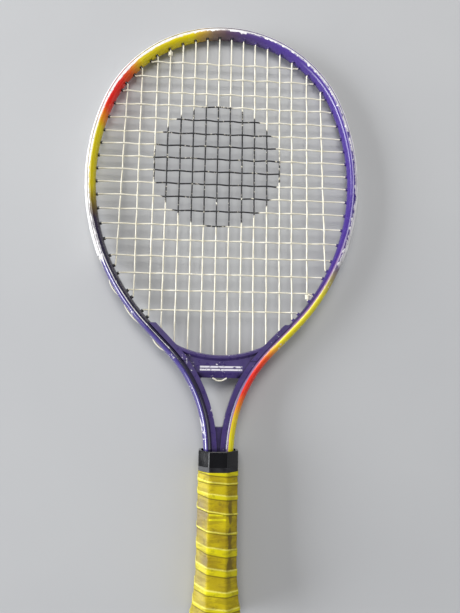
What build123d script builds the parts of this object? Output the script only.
from build123d import *
import os
from math import cos, radians, tan

# Junior tennis racket with an aluminium frame.
# The origin is the middle of the butt's end face, +Y runs along the racket to the tip of the head,
# +X is across the face, and Z = 0 is the plane of the strings. Millimetres and degrees.

# Frame tube: a hoop that runs on into two shafts. Its centre line, from the tip down one side, is
# a tip arc, a side arc, a straight, a throat arc and a gentle shaft arc that turn the other way,
# and a straight shaft inside the handle.
TIP_Y = 525.4
TIP_RADIUS = 115.0
TIP_ANGLE = 69.0
SIDE_RADIUS = 198.5
SIDE_ANGLE = 65.5
THROAT_RADIUS = 122.0
SHAFT_RADIUS = 600.0
SHAFT_ANGLE = 5.0
SHAFT_X = 7.1
SHAFT_END_Y = 12.0
TUBE_WIDTH = 9.0
TUBE_HEIGHT = 13.6
TUBE_WALL = 0.8
CHANNEL_WIDTH = 4.4
CHANNEL_DEPTH = 2.6

# Strings. Mains run along Y just above the mid-plane and crosses along X just below it.
# MAIN_X goes from the middle outwards; the outermost main leans out a little towards the throat.
STRING_RADIUS = 0.7
STRING_LAYER = 0.72
LOOP_BEND = 1.3
LOOP_GAP = 0.35
LONG_LOOP = 18.5
MOUTH_BEND = 1.6
MAIN_X = [5.7, 17.2, 28.6, 40.4, 52.3, 64.7, 78.3]
OUTER_MAIN_TOP_X = 92.0
OUTER_MAIN_BOTTOM_X = 94.2
FIRST_CROSS_Y = 494.0
CROSS_GAPS = [15.6, 14.4, 14.2, 13.6, 13.3, 12.2, 12.4, 12.4, 12.3, 12.5, 12.9, 14.0, 14.0, 15.2, 15.9, 16.3, 18.0]
BRIDGE_MAINS = 3
HOLE_SPACING = 7.6
TRANSFER = 12.0
KNOT_RADIUS = 1.9
KNOT_LENGTH = 3.0
MAIN_KNOT_Y = 270.8
CROSS_KNOT_Y = 501.6

# Grommets: strips in the outer channel with barrels through the tube.
STRIP_THICKNESS = 0.8
STRIP_WIDTH = 3.8
BARREL_RADIUS = 1.4
BARREL_BORE = 0.95
BARREL_PROUD = 1.5
CLEARANCE = 0.05
STRIP_SPLIT_Y = 312.5
STRIP_GAP = 0.8
STRIP_END_Y = 214.0

# Guard over the outside of the head.
GUARD_THICKNESS = 0.7
GUARD_REACH = 2.2
GUARD_END_Y = 303.0

# Throat bridge, moulded to fit between the tubes, with its rivets.
BRIDGE_TOP_Y = 217.1
BRIDGE_TOP_RADIUS = 88.0
BRIDGE_BOTTOM_Y = 131.3
WING_THICKNESS = 2.8
BRIDGE_OVERLAP = 1.4
WING_START_Y = 212.5
WING_END_Y = 244.5
OPENING_TOP_Y = 197.6
OPENING_BOTTOM_Y = 156.0
OPENING_CORNER = 1.2
FLANGE_WIDTH = 2.8
FLANGE_HALF = 5.2
BEAD_WIDTH = 4.8
BEAD_HALF = 6.2
BEAD_SLOPE = 2.0
EDGE_ROUND = 0.8
PANEL_HALF = 4.1
PANEL_BEVEL = 4.6
PANEL_BEVEL_DROP = 2.6
WEB_HALF = 3.4
POCKET_LOW = (15.0, 208.8)
POCKET_HIGH = (40.0, 214.2)
POCKET_HALF = 2.2
BRIDGE_HOLE_RADIUS = 1.1
CORNER_RIVET_Y = 204.0
CROSS_RIVET_Y = 141.5
RIVET_HOLE = 1.4
RIVET_RADIUS = 1.35
RIVET_HEAD_RADIUS = 2.1
RIVET_HEAD = 0.6
RIVET_BITE = 8.0

# Handle: octagonal, two moulded halves round the shafts, a butt cap and the grip wrap.
# FLARE gives the outer width of the wrap at distances from the butt end.
GRIP_WIDTH = 34.0
GRIP_THICKNESS = 29.6
GRIP_FLAT = 15.6
WRAP_THICKNESS = 1.8
WRAP_TOP_Y = 120.2
FLARE = [(2.5, 43.0), (7.0, 41.8), (12.0, 39.8), (17.0, 38.2), (28.5, 36.0), (37.0, 34.4), (48.0, 34.0)]
BUTT_WIDTH = 43.4
BUTT_BEVEL = 0.9
BUTT_RECESS_RADIUS = 11.0
BUTT_RECESS_WIDTH = 1.0
BUTT_RECESS_DEPTH = 0.5
CAP_RIM = 2.4
CAP_LENGTH = 32.0
CAP_BORE_WIDTH = 28.6
PALLET_END_WIDTH = 28.4
PALLET_TOP_Y = 131.0
SHAFT_CLEARANCE = 0.1
NECK_START_Y = 124.2
NECK_WIDTH = 28.2
NECK_THICKNESS = 20.0
NECK_CORNER = 6.0
PIN_Y = [45.0, 105.0]
PIN_Z = 4.0
PIN_RADIUS = 1.5
PIN_HALF_LENGTH = 13.9
STAPLE_Y = 25.0
STAPLE_WIRE = 0.7
STAPLE_SLOT = 1.0
STAPLE_WIDTH = 9.0
STAPLE_DEPTH = 4.8

# Finishing tape and rubber collar at the top of the handle.
TAPE_TOP_Y = 124.2
TAPE_WIDTH = 33.3
COLLAR_BOTTOM_Y = 124.3
COLLAR_TOP_Y = 137.0
COLLAR_WIDTH = 33.6
COLLAR_BORE_WIDTH = 29.2
COLLAR_BORE_THICKNESS = 21.0
COLLAR_BORE_CORNER = 6.5
COLLAR_EDGE_ROUND = 1.6
COLLAR_END_ROUND = 0.7

FAR = 200.0
TALL = 60.0


def direction(angle):
    return Vector(cos(radians(angle)), cos(radians(90 - angle)), 0)


# Centres and joints of the chain. Angles are those of the outward normal, measured from +X.
SIDE_NORMAL = 90 - TIP_ANGLE
LOW_NORMAL = SIDE_NORMAL - SIDE_ANGLE
TIP_CENTRE = Vector(0, TIP_Y - TIP_RADIUS, 0)
SIDE_CENTRE = TIP_CENTRE + direction(SIDE_NORMAL) * (TIP_RADIUS - SIDE_RADIUS)
SIDE_END = SIDE_CENTRE + direction(LOW_NORMAL) * SIDE_RADIUS
THROAT_SWING = THROAT_RADIUS * (direction(SHAFT_ANGLE) - direction(LOW_NORMAL)).X
SHAFT_SWING = SHAFT_RADIUS * (1 - direction(SHAFT_ANGLE).X)
RUN_DIRECTION = direction(LOW_NORMAL - 90)
STRAIGHT = (SIDE_END.X - THROAT_SWING - SHAFT_SWING - SHAFT_X) / -RUN_DIRECTION.X
THROAT_START = SIDE_END + RUN_DIRECTION * STRAIGHT
THROAT_CENTRE = THROAT_START + direction(LOW_NORMAL) * THROAT_RADIUS
SHAFT_CENTRE = THROAT_CENTRE + direction(-SHAFT_ANGLE) * (SHAFT_RADIUS - THROAT_RADIUS)
TIP_LENGTH = TIP_RADIUS * radians(TIP_ANGLE)
SIDE_LENGTH = SIDE_RADIUS * radians(SIDE_ANGLE)
THROAT_LENGTH = THROAT_RADIUS * radians(-LOW_NORMAL - SHAFT_ANGLE)
WIDEST = TIP_LENGTH + SIDE_RADIUS * radians(SIDE_NORMAL)
HOOP_END = TIP_LENGTH + SIDE_LENGTH + STRAIGHT + THROAT_LENGTH

HALF_TUBE = TUBE_WIDTH / 2
CHANNEL_FLOOR = HALF_TUBE - CHANNEL_DEPTH
STRIP_TOP = CHANNEL_FLOOR + STRIP_THICKNESS
MOUTH = -HALF_TUBE - BARREL_PROUD - 0.6
LOOP = STRIP_TOP + STRING_RADIUS + LOOP_GAP
BRIDGE_LOOP_Y = OPENING_TOP_Y - STRING_RADIUS - CLEARANCE
POCKET_LOOP_Y = POCKET_HIGH[1] - STRING_RADIUS - CLEARANCE


def station(s, offset=0.0):
    """Point and outward normal on the right side, a distance s along the centre line from the tip."""
    if s < TIP_LENGTH:
        normal = direction(90 - s / TIP_RADIUS / radians(1))
        return TIP_CENTRE + normal * (TIP_RADIUS + offset), normal
    s -= TIP_LENGTH
    if s < SIDE_LENGTH:
        normal = direction(SIDE_NORMAL - s / SIDE_RADIUS / radians(1))
        return SIDE_CENTRE + normal * (SIDE_RADIUS + offset), normal
    s -= SIDE_LENGTH
    if s < STRAIGHT:
        normal = direction(LOW_NORMAL)
        return SIDE_END + RUN_DIRECTION * s + normal * offset, normal
    s -= STRAIGHT
    normal = direction(LOW_NORMAL + s / THROAT_RADIUS / radians(1))
    return THROAT_CENTRE - normal * (THROAT_RADIUS - offset), normal


def find_station(value, target, low, high):
    """Distance along the centre line where value(s), which falls from low to high, meets target."""
    for _ in range(50):
        middle = (low + high) / 2
        if value(middle) > target:
            low = middle
        else:
            high = middle
    return low


def station_at_top_x(x):
    return find_station(lambda s: -station(s, MOUTH)[0].X, -x, 0, WIDEST)


def station_at_bottom_x(x):
    return find_station(lambda s: station(s, MOUTH)[0].X, x, WIDEST, HOOP_END)


def station_at_y(y, offset=MOUTH):
    return find_station(lambda s: station(s, offset)[0].Y, y, 0, HOOP_END)


def spaced(stations, gap):
    """The same stations, with neighbours that stand closer than gap moved apart evenly."""
    order = sorted(range(len(stations)), key=stations.__getitem__)
    moved = list(stations)
    for first, second in zip(order, order[1:]):
        lack = max(gap - (moved[second] - moved[first]), 0)
        moved[first] -= lack / 2
        moved[second] += lack / 2
    return moved


# Where every string passes the tube: top of each main, bottom of the mains beyond the bridge, crosses.
TUBE_MAINS = MAIN_X[BRIDGE_MAINS:] + [OUTER_MAIN_BOTTOM_X]
CROSS_Y = [FIRST_CROSS_Y - sum(CROSS_GAPS[:i]) for i in range(len(CROSS_GAPS) + 1)]
HOLES = spaced(
    [station_at_top_x(x) for x in MAIN_X + [OUTER_MAIN_TOP_X]]
    + [station_at_bottom_x(x) for x in TUBE_MAINS]
    + [station_at_y(y) for y in CROSS_Y],
    HOLE_SPACING,
)
MAIN_TOPS = HOLES[: len(MAIN_X) + 1]
MAIN_BOTTOMS = HOLES[len(MAIN_TOPS) : -len(CROSS_Y)]
CROSS_ENDS = HOLES[-len(CROSS_Y) :]
WING_HOLES = [s for s in MAIN_BOTTOMS if station(s, MOUTH)[0].Y < WING_END_Y]
CORNER_RIVET = station_at_y(CORNER_RIVET_Y, 0)


def half_chain(offset, end_y):
    """Edges of the right side from the tip down to end_y, moved outward from the centre line."""
    shaft_x = SHAFT_X + offset
    return [
        CenterArc(TIP_CENTRE, TIP_RADIUS + offset, 90, -TIP_ANGLE),
        CenterArc(SIDE_CENTRE, SIDE_RADIUS + offset, SIDE_NORMAL, -SIDE_ANGLE),
        Line(SIDE_END + direction(LOW_NORMAL) * offset, THROAT_START + direction(LOW_NORMAL) * offset),
        CenterArc(THROAT_CENTRE, THROAT_RADIUS - offset, 180 + LOW_NORMAL, -LOW_NORMAL - SHAFT_ANGLE),
        CenterArc(SHAFT_CENTRE, SHAFT_RADIUS - offset, 180 - SHAFT_ANGLE, SHAFT_ANGLE),
        Line((shaft_x, SHAFT_CENTRE.Y), (shaft_x, end_y)),
    ]


def racket_path(end_y):
    """The whole centre line, up the left shaft, round the head and down the right shaft."""
    right = half_chain(0, end_y)
    left = [edge.mirror(Plane.YZ) for edge in reversed(right)]
    return Wire(left + right)


def inside_face(offset, end_y=SHAFT_END_Y):
    """Flat face between the two sides at an offset from the centre line."""
    right = half_chain(offset, end_y)
    left = [edge.mirror(Plane.YZ) for edge in right]
    foot = Line((-SHAFT_X - offset, end_y), (SHAFT_X + offset, end_y))
    return make_face(right + left + [foot])


def rectangle(x_low, x_high, y_low, y_high):
    centre = Pos((x_low + x_high) / 2, (y_low + y_high) / 2)
    return centre * Rectangle(x_high - x_low, y_high - y_low)


def rows(y_low, y_high):
    """Flat face across the whole width between two distances from the butt."""
    return rectangle(-FAR, FAR, y_low, y_high)


def plate(face, half_height):
    return extrude(face, half_height, both=True)


def swept(section, end_y):
    """Sweep a section whose local X is outward and local Y is +Z round the whole frame."""
    foot = Plane(origin=(-SHAFT_X, end_y, 0), x_dir=(-1, 0, 0), z_dir=(0, 1, 0))
    return sweep(foot * section, path=racket_path(end_y))


def oval(grow=0.0):
    """Section of the tube, made larger all round by grow."""
    return Ellipse(HALF_TUBE + grow, TUBE_HEIGHT / 2 + grow)


def peg(s, side, height, radius, inner, outer):
    """Round bar along the normal at a station, on the left (side -1) or right (side 1)."""
    start, normal = station(s, inner)
    base = Plane(origin=(start.X * side, start.Y, height), z_dir=(normal.X * side, normal.Y, 0))
    return base * Cylinder(radius, outer - inner, align=(Align.CENTER, Align.CENTER, Align.MIN))


def rod_x(y, z, radius, half_length):
    return Pos(0, y, z) * Rot(0, 90, 0) * Cylinder(radius, 2 * half_length)


def rod_y(x, z, radius, y_low, y_high):
    return Pos(x, (y_low + y_high) / 2, z) * Rot(90, 0, 0) * Cylinder(radius, y_high - y_low)


def string_holes():
    """Every hole in the tube as (station, side, height): mains high and crosses low."""
    mains = [(s, side, STRING_LAYER) for s in MAIN_TOPS + MAIN_BOTTOMS for side in (-1, 1)]
    return mains + [(s, side, -STRING_LAYER) for s in CROSS_ENDS for side in (-1, 1)]


def frame_tube():
    void = oval(-TUBE_WALL)
    ledge = CHANNEL_WIDTH / 2 + TUBE_WALL
    void -= rectangle(CHANNEL_FLOOR - TUBE_WALL, TUBE_WIDTH, -ledge, ledge)
    channel = rectangle(CHANNEL_FLOOR, TUBE_WIDTH, -CHANNEL_WIDTH / 2, CHANNEL_WIDTH / 2)
    tube = swept(oval() - channel - void, SHAFT_END_Y)
    hole = BARREL_RADIUS + CLEARANCE
    tube -= [peg(s, side, z, hole, -TUBE_WIDTH, TUBE_WIDTH) for s, side, z in string_holes()]
    tube -= [peg(CORNER_RIVET, side, 0, RIVET_HOLE, -TUBE_WIDTH, TUBE_WIDTH) for side in (-1, 1)]
    tube -= rod_x(CROSS_RIVET_Y, 0, RIVET_HOLE, TALL)
    return tube - pin_holes()


def top_circle(inset=0.0):
    """The round bottom of the stringing area, or the same curve moved down by inset."""
    return Pos(0, BRIDGE_TOP_Y + BRIDGE_TOP_RADIUS) * Circle(BRIDGE_TOP_RADIUS + inset)


def bridge_rows(y_low, y_high, depth=0.0):
    """Flat face between the tubes; a depth keeps only a band of it along each tube."""
    face = inside_face(BRIDGE_OVERLAP - HALF_TUBE) & rows(y_low, y_high)
    if depth:
        face -= inside_face(-HALF_TUBE - depth)
    return face


def bridge_bead():
    """Raised edge under the strings, sloped down to the panel."""
    bead = plate((bridge_rows(OPENING_TOP_Y, WING_END_Y) & top_circle(BEAD_WIDTH)) - top_circle(), BEAD_HALF)
    outer_radius = BRIDGE_TOP_RADIUS + BEAD_WIDTH
    lower = [e for e in bead.edges().filter_by(GeomType.CIRCLE) if abs(e.radius - outer_radius) < 0.01]
    bead = chamfer([e for e in lower if abs(e.center().Z) > BEAD_HALF - 0.01], BEAD_SLOPE)
    upper = [e for e in bead.edges().filter_by(GeomType.CIRCLE) if abs(e.radius - BRIDGE_TOP_RADIUS) < 0.01]
    return fillet([e for e in upper if abs(e.center().Z) > BEAD_HALF - 0.01], EDGE_ROUND)


def throat_bridge():
    flanges = plate(bridge_rows(BRIDGE_BOTTOM_Y, BRIDGE_TOP_Y, FLANGE_WIDTH), FLANGE_HALF)
    wings = plate(bridge_rows(WING_START_Y, WING_END_Y, WING_THICKNESS), BEAD_HALF)
    web = plate(bridge_rows(BRIDGE_BOTTOM_Y, OPENING_BOTTOM_Y), WEB_HALF)
    panel = plate(bridge_rows(OPENING_BOTTOM_Y, WING_END_Y), PANEL_HALF)
    bevel_top = PANEL_HALF - PANEL_BEVEL_DROP
    bevel = make_face(
        Polyline(
            (OPENING_TOP_Y, bevel_top),
            (OPENING_TOP_Y + PANEL_BEVEL, PANEL_HALF),
            (OPENING_TOP_Y, PANEL_HALF),
            close=True,
        )
    )
    side_view = Plane(origin=(0, 0, 0), x_dir=(0, 1, 0), z_dir=(1, 0, 0))
    bevel = extrude(side_view * bevel, FAR, both=True)
    panel -= [bevel, bevel.mirror(Plane.XY)]
    bridge = (flanges + web + panel - plate(top_circle(), TALL)) + wings + bridge_bead()
    opening = inside_face(-HALF_TUBE - FLANGE_WIDTH) & rows(OPENING_BOTTOM_Y, OPENING_TOP_Y)
    bridge -= plate(fillet(opening.vertices(), OPENING_CORNER), TALL)
    return bridge - swept(oval(CLEARANCE), SHAFT_END_Y) - bridge_cuts()


def bridge_cuts():
    """String holes, the pockets where the strings turn, and the rivet holes."""
    cuts = [rod_x(CROSS_RIVET_Y, 0, RIVET_HOLE, TALL)]
    for side in (-1, 1):
        pocket = Box(POCKET_HIGH[0] - POCKET_LOW[0], POCKET_HIGH[1] - POCKET_LOW[1], 2 * POCKET_HALF)
        middle = (POCKET_LOW[0] + POCKET_HIGH[0]) / 2
        cuts.append(Pos(side * middle, (POCKET_LOW[1] + POCKET_HIGH[1]) / 2, 0) * pocket)
        cuts.append(rod_y(side * MAIN_X[0], STRING_LAYER, BRIDGE_HOLE_RADIUS, OPENING_BOTTOM_Y, TIP_Y))
        for x in MAIN_X[1:BRIDGE_MAINS]:
            cuts.append(rod_y(side * x, STRING_LAYER, BRIDGE_HOLE_RADIUS, POCKET_LOOP_Y, TIP_Y))
        for s in WING_HOLES:
            x, y = flat_point(s, side, MOUTH)
            cuts.append(peg(s, side, STRING_LAYER, BRIDGE_HOLE_RADIUS, -2 * TUBE_WIDTH, 0))
            cuts.append(rod_y(x, STRING_LAYER, BRIDGE_HOLE_RADIUS, y, TIP_Y))
        cuts.append(peg(CORNER_RIVET, side, 0, RIVET_HOLE, -HALF_TUBE - RIVET_BITE, 0))
    return cuts


def bridge_rivets():
    """One rivet at each upper corner of the bridge and one right across both shafts."""
    rivets = []
    for side in (-1, 1):
        shank = peg(CORNER_RIVET, side, 0, RIVET_RADIUS, -HALF_TUBE - RIVET_BITE + CLEARANCE, STRIP_TOP)
        head = peg(CORNER_RIVET, side, 0, RIVET_HEAD_RADIUS, CHANNEL_FLOOR + CLEARANCE, STRIP_TOP)
        rivets.append(shank + head)
    reach = shaft_x_at(CROSS_RIVET_Y) + STRIP_TOP
    heads = rod_x(CROSS_RIVET_Y, 0, RIVET_HEAD_RADIUS, reach)
    heads -= rod_x(CROSS_RIVET_Y, 0, RIVET_HEAD_RADIUS, reach - RIVET_HEAD)
    return Compound(rivets + [heads + rod_x(CROSS_RIVET_Y, 0, RIVET_RADIUS, reach)])


def shaft_x_at(y):
    """Distance of a shaft's centre line from the axis, along the gentle shaft arc."""
    rise = y - SHAFT_CENTRE.Y
    return SHAFT_CENTRE.X - (SHAFT_RADIUS**2 - rise**2) ** 0.5


def grommet_strip(y_low, y_high):
    """Strip in the outer channel of the right side between two heights, with its barrels."""
    section = rectangle(CHANNEL_FLOOR + CLEARANCE, STRIP_TOP, -STRIP_WIDTH / 2, STRIP_WIDTH / 2)
    strip = swept(section, SHAFT_END_Y) & plate(rectangle(0, FAR, y_low, y_high), TALL)
    barrels = []
    bores = []
    for s, side, z in string_holes():
        if side < 0 or not y_low < station(s)[0].Y < y_high:
            continue
        inner = -HALF_TUBE if s in WING_HOLES and z > 0 else -HALF_TUBE - BARREL_PROUD
        barrels.append(peg(s, side, z, BARREL_RADIUS, inner, STRIP_TOP))
        bores.append(peg(s, side, z, BARREL_BORE, -TUBE_WIDTH, TUBE_WIDTH))
    return strip + barrels - bores


def bumper_guard():
    section = oval(GUARD_THICKNESS) - oval(CLEARANCE)
    section &= rectangle(GUARD_REACH, TUBE_WIDTH, -TUBE_HEIGHT, TUBE_HEIGHT)
    return swept(section, SHAFT_END_Y) & plate(rows(GUARD_END_Y, TIP_Y + TUBE_WIDTH), TALL)


def flat_point(s, side, offset):
    point = station(s, offset)[0]
    return (point.X * side, point.Y)


def string_solid(corners, height):
    """Round string along straight runs; the ends of loops bend tighter than the barrel mouths."""
    points = [point for point, radius in corners]
    radii = [radius for point, radius in corners[1:-1]]
    path = Pos(0, 0, height) * FilletPolyline(*points, radius=radii)
    start = Plane(origin=path @ 0, z_dir=path % 0)
    return sweep(start * Circle(STRING_RADIUS), path=path)


def hole_corners(s, side):
    return [(flat_point(s, side, LOOP), LOOP_BEND), (flat_point(s, side, MOUTH), MOUTH_BEND)]


def channel_corner(s_from, s_to, side):
    """Middle of a long loop in the outer channel, so that the loop follows the curve."""
    if abs(s_from - s_to) < LONG_LOOP:
        return []
    return [(flat_point((s_from + s_to) / 2, side, LOOP), LOOP_BEND)]


def main_corners(index, side):
    """Corners of one main, from its loop at the bottom to its loop at the top."""
    top = list(reversed(hole_corners(MAIN_TOPS[index], side)))
    if index >= BRIDGE_MAINS:
        return hole_corners(MAIN_BOTTOMS[index - BRIDGE_MAINS], side) + top
    loop_y = BRIDGE_LOOP_Y if index == 0 else POCKET_LOOP_Y
    return [((MAIN_X[index] * side, loop_y), LOOP_BEND)] + top


def main_string():
    last = len(MAIN_TOPS) - 1
    order = [(i, -1) for i in range(last, -1, -1)] + [(i, 1) for i in range(last + 1)]
    tail = MAIN_BOTTOMS[-1] + TRANSFER
    corners = [(flat_point(tail, -1, LOOP), 0)]
    for turn, (index, side) in enumerate(order):
        run = main_corners(index, side)
        corners += run if turn % 2 == 0 else list(reversed(run))
        ahead = order[turn + 1][0] if turn < len(order) - 1 else index
        ends = MAIN_TOPS if turn % 2 == 0 else [None] * BRIDGE_MAINS + MAIN_BOTTOMS
        if ahead != index and ends[index] and ends[ahead]:
            corners += channel_corner(ends[index], ends[ahead], side)
    corners.append((flat_point(tail, 1, LOOP), 0))
    return string_solid(corners, STRING_LAYER)


def cross_string():
    """From a tail at the lowest cross on the left, up to the top cross, back and forth."""
    corners = [(flat_point(CROSS_ENDS[-1] - HOLE_SPACING, -1, LOOP), 0)]
    for turn, s in enumerate(reversed(CROSS_ENDS)):
        side = -1 if turn % 2 == 0 else 1
        if turn:
            corners += channel_corner(CROSS_ENDS[-turn], s, side)
        corners += hole_corners(s, side) + list(reversed(hole_corners(s, -side)))
    last_side = -1 if len(CROSS_ENDS) % 2 == 0 else 1
    corners.append((flat_point(CROSS_ENDS[0] - HOLE_SPACING / 2, last_side, LOOP), 0))
    return string_solid(corners, -STRING_LAYER)


def main_x_at(index, side, y):
    """Where a main that passes the tube at both ends crosses a given height."""
    low = flat_point(MAIN_BOTTOMS[index - BRIDGE_MAINS], side, MOUTH)
    high = flat_point(MAIN_TOPS[index], side, MOUTH)
    return low[0] + (high[0] - low[0]) * (y - low[1]) / (high[1] - low[1])


def tie_off_knots():
    """The two knots that end the string, each drawn round a main close to the frame."""
    knots = []
    for index, side, y in ((6, 1, MAIN_KNOT_Y), (4, -1, CROSS_KNOT_Y)):
        x = main_x_at(index, side, y)
        knot = rod_y(x, STRING_LAYER, KNOT_RADIUS, y - KNOT_LENGTH / 2, y + KNOT_LENGTH / 2)
        knot = fillet(knot.edges().filter_by(GeomType.CIRCLE), EDGE_ROUND)
        knots.append(knot - rod_y(x, STRING_LAYER, STRING_RADIUS + CLEARANCE, y - TALL, y + TALL))
    return Compound(knots)


def octagon(y, width):
    """Handle octagon at a distance from the butt; its bevels stay at 45 degrees at every width."""
    inset = (GRIP_WIDTH - width) / 2
    half_width = width / 2
    half_thick = GRIP_THICKNESS / 2 - inset
    half_flat = GRIP_FLAT / 2 - inset * tan(radians(22.5))
    half_side = half_thick - half_width + half_flat
    quarter = [(half_flat, half_thick), (half_width, half_side), (half_width, -half_side), (half_flat, -half_thick)]
    outline = Polyline(*quarter, *[(-x, z) for x, z in reversed(quarter)], close=True)
    return Plane(origin=(0, y, 0), x_dir=(1, 0, 0), z_dir=(0, -1, 0)) * make_face(outline)


def octagon_loft(stations, shrink=0.0):
    return loft([octagon(y, width - 2 * shrink) for y, width in stations], ruled=True)


def prism(y_low, y_high, width):
    return extrude(octagon(y_low, width), y_high - y_low, dir=(0, 1, 0))


def flare_width(y):
    """Outer width of the wrap at a distance from the butt."""
    for (y_low, low), (y_high, high) in zip(FLARE, FLARE[1:]):
        if y <= y_high:
            return low + (high - low) * (y - y_low) / (y_high - y_low)
    return GRIP_WIDTH


def shaft_space(end_y, top_y, grow):
    """The space of both shafts, a little enlarged, below top_y."""
    return swept(oval(grow), end_y) & plate(rows(end_y, top_y), TALL)


def handle_half(side):
    """Upper (side 1) or lower (side -1) half of the handle moulding."""
    main_width = GRIP_WIDTH - 2 * WRAP_THICKNESS - 2 * CLEARANCE
    body = prism(CAP_RIM + CLEARANCE, CAP_LENGTH + CLEARANCE, PALLET_END_WIDTH)
    body += prism(CAP_LENGTH + CLEARANCE, NECK_START_Y, main_width)
    neck = Plane(origin=(0, PALLET_TOP_Y, 0), x_dir=(1, 0, 0), z_dir=(0, -1, 0))
    neck *= RectangleRounded(NECK_WIDTH, NECK_THICKNESS, NECK_CORNER)
    body += extrude(neck, PALLET_TOP_Y - NECK_START_Y)
    half = Pos(0, 0, side * (TALL / 2 + CLEARANCE)) * Box(2 * FAR, 2 * FAR, TALL)
    body &= half
    body -= shaft_space(SHAFT_END_Y - 1, PALLET_TOP_Y + 1, SHAFT_CLEARANCE)
    return body - pin_holes() - staples(CLEARANCE, STAPLE_SLOT)


def handle_pins():
    """Cross pins that hold each half of the handle to the shafts."""
    return Compound([rod_x(y, z, PIN_RADIUS, PIN_HALF_LENGTH) for y in PIN_Y for z in (-PIN_Z, PIN_Z)])


def pin_holes():
    return [rod_x(y, z, PIN_RADIUS + CLEARANCE, TALL) for y in PIN_Y for z in (-PIN_Z, PIN_Z)]


def staples(grow=0.0, rise=0.0):
    """Square-wire staples through the skirt of the butt cap; rise opens the space over the crowns."""
    cap_width = flare_width(STAPLE_Y) - 2 * WRAP_THICKNESS
    top = (GRIP_THICKNESS - GRIP_WIDTH + cap_width) / 2 - 2 * CLEARANCE
    wire = STAPLE_WIRE + 2 * grow
    made = []
    for side in (-1, 1):
        crown = Box(STAPLE_WIDTH + wire, wire, STAPLE_WIRE + rise)
        staple = Pos(0, STAPLE_Y, side * (top + (rise - STAPLE_WIRE) / 2)) * crown
        for x in (-STAPLE_WIDTH / 2, STAPLE_WIDTH / 2):
            leg = Box(wire, wire, STAPLE_DEPTH + grow)
            staple += Pos(x, STAPLE_Y, side * (top - (STAPLE_DEPTH + grow) / 2)) * leg
        made.append(staple)
    return Compound(made)


def butt_cap():
    cap = octagon_loft([(0, BUTT_WIDTH - 2 * BUTT_BEVEL), (BUTT_BEVEL, BUTT_WIDTH)])
    cap += prism(BUTT_BEVEL, CAP_RIM, BUTT_WIDTH)
    skirt = [(y, width) for y, width in FLARE if y < CAP_LENGTH] + [(CAP_LENGTH, flare_width(CAP_LENGTH))]
    skirt[0] = (CAP_RIM, skirt[0][1])
    cap += octagon_loft(skirt, WRAP_THICKNESS + CLEARANCE)
    cap -= prism(CAP_RIM, CAP_LENGTH + 1, CAP_BORE_WIDTH)
    ring = Circle(BUTT_RECESS_RADIUS) - Circle(BUTT_RECESS_RADIUS - BUTT_RECESS_WIDTH)
    cap -= extrude(Plane.XZ * ring, -BUTT_RECESS_DEPTH)
    return cap - staples(CLEARANCE, STAPLE_SLOT)


def grip_wrap():
    stations = FLARE + [(WRAP_TOP_Y, GRIP_WIDTH)]
    return octagon_loft(stations) - octagon_loft(stations, WRAP_THICKNESS)


def finishing_tape():
    outer = prism(WRAP_TOP_Y + CLEARANCE, TAPE_TOP_Y, TAPE_WIDTH)
    return outer - prism(WRAP_TOP_Y - 1, TAPE_TOP_Y + 1, GRIP_WIDTH - 2 * WRAP_THICKNESS)


def grip_collar():
    collar = prism(COLLAR_BOTTOM_Y, COLLAR_TOP_Y, COLLAR_WIDTH)
    collar = fillet(collar.edges().filter_by(Axis.Y), COLLAR_EDGE_ROUND)
    collar = fillet(collar.faces().sort_by(Axis.Y)[-1].edges(), COLLAR_END_ROUND)
    bore = Plane(origin=(0, COLLAR_TOP_Y + 1, 0), x_dir=(1, 0, 0), z_dir=(0, -1, 0))
    bore *= RectangleRounded(COLLAR_BORE_WIDTH, COLLAR_BORE_THICKNESS, COLLAR_BORE_CORNER)
    return collar - extrude(bore, COLLAR_TOP_Y - COLLAR_BOTTOM_Y + 2)


def main():
    os.makedirs("parts", exist_ok=True)
    head_side = grommet_strip(STRIP_SPLIT_Y + STRIP_GAP / 2, TIP_Y + TUBE_WIDTH)
    low_side = grommet_strip(STRIP_END_Y, STRIP_SPLIT_Y - STRIP_GAP / 2)
    parts = {
        "frame_tube": frame_tube(),
        "throat_bridge": throat_bridge(),
        "bridge_rivets": bridge_rivets(),
        "grommet_strip_head": head_side + head_side.mirror(Plane.YZ),
        "grommet_strip_left": low_side.mirror(Plane.YZ),
        "grommet_strip_right": low_side,
        "bumper_guard": bumper_guard(),
        "main_string": main_string(),
        "cross_string": cross_string(),
        "tie_off_knots": tie_off_knots(),
        "handle_half_upper": handle_half(1),
        "handle_half_lower": handle_half(-1),
        "handle_pins": handle_pins(),
        "butt_cap": butt_cap(),
        "butt_cap_staples": staples(),
        "grip_wrap": grip_wrap(),
        "finishing_tape": finishing_tape(),
        "grip_collar": grip_collar(),
    }
    for name, part in parts.items():
        export_step(part, f"parts/{name}.step")


main()
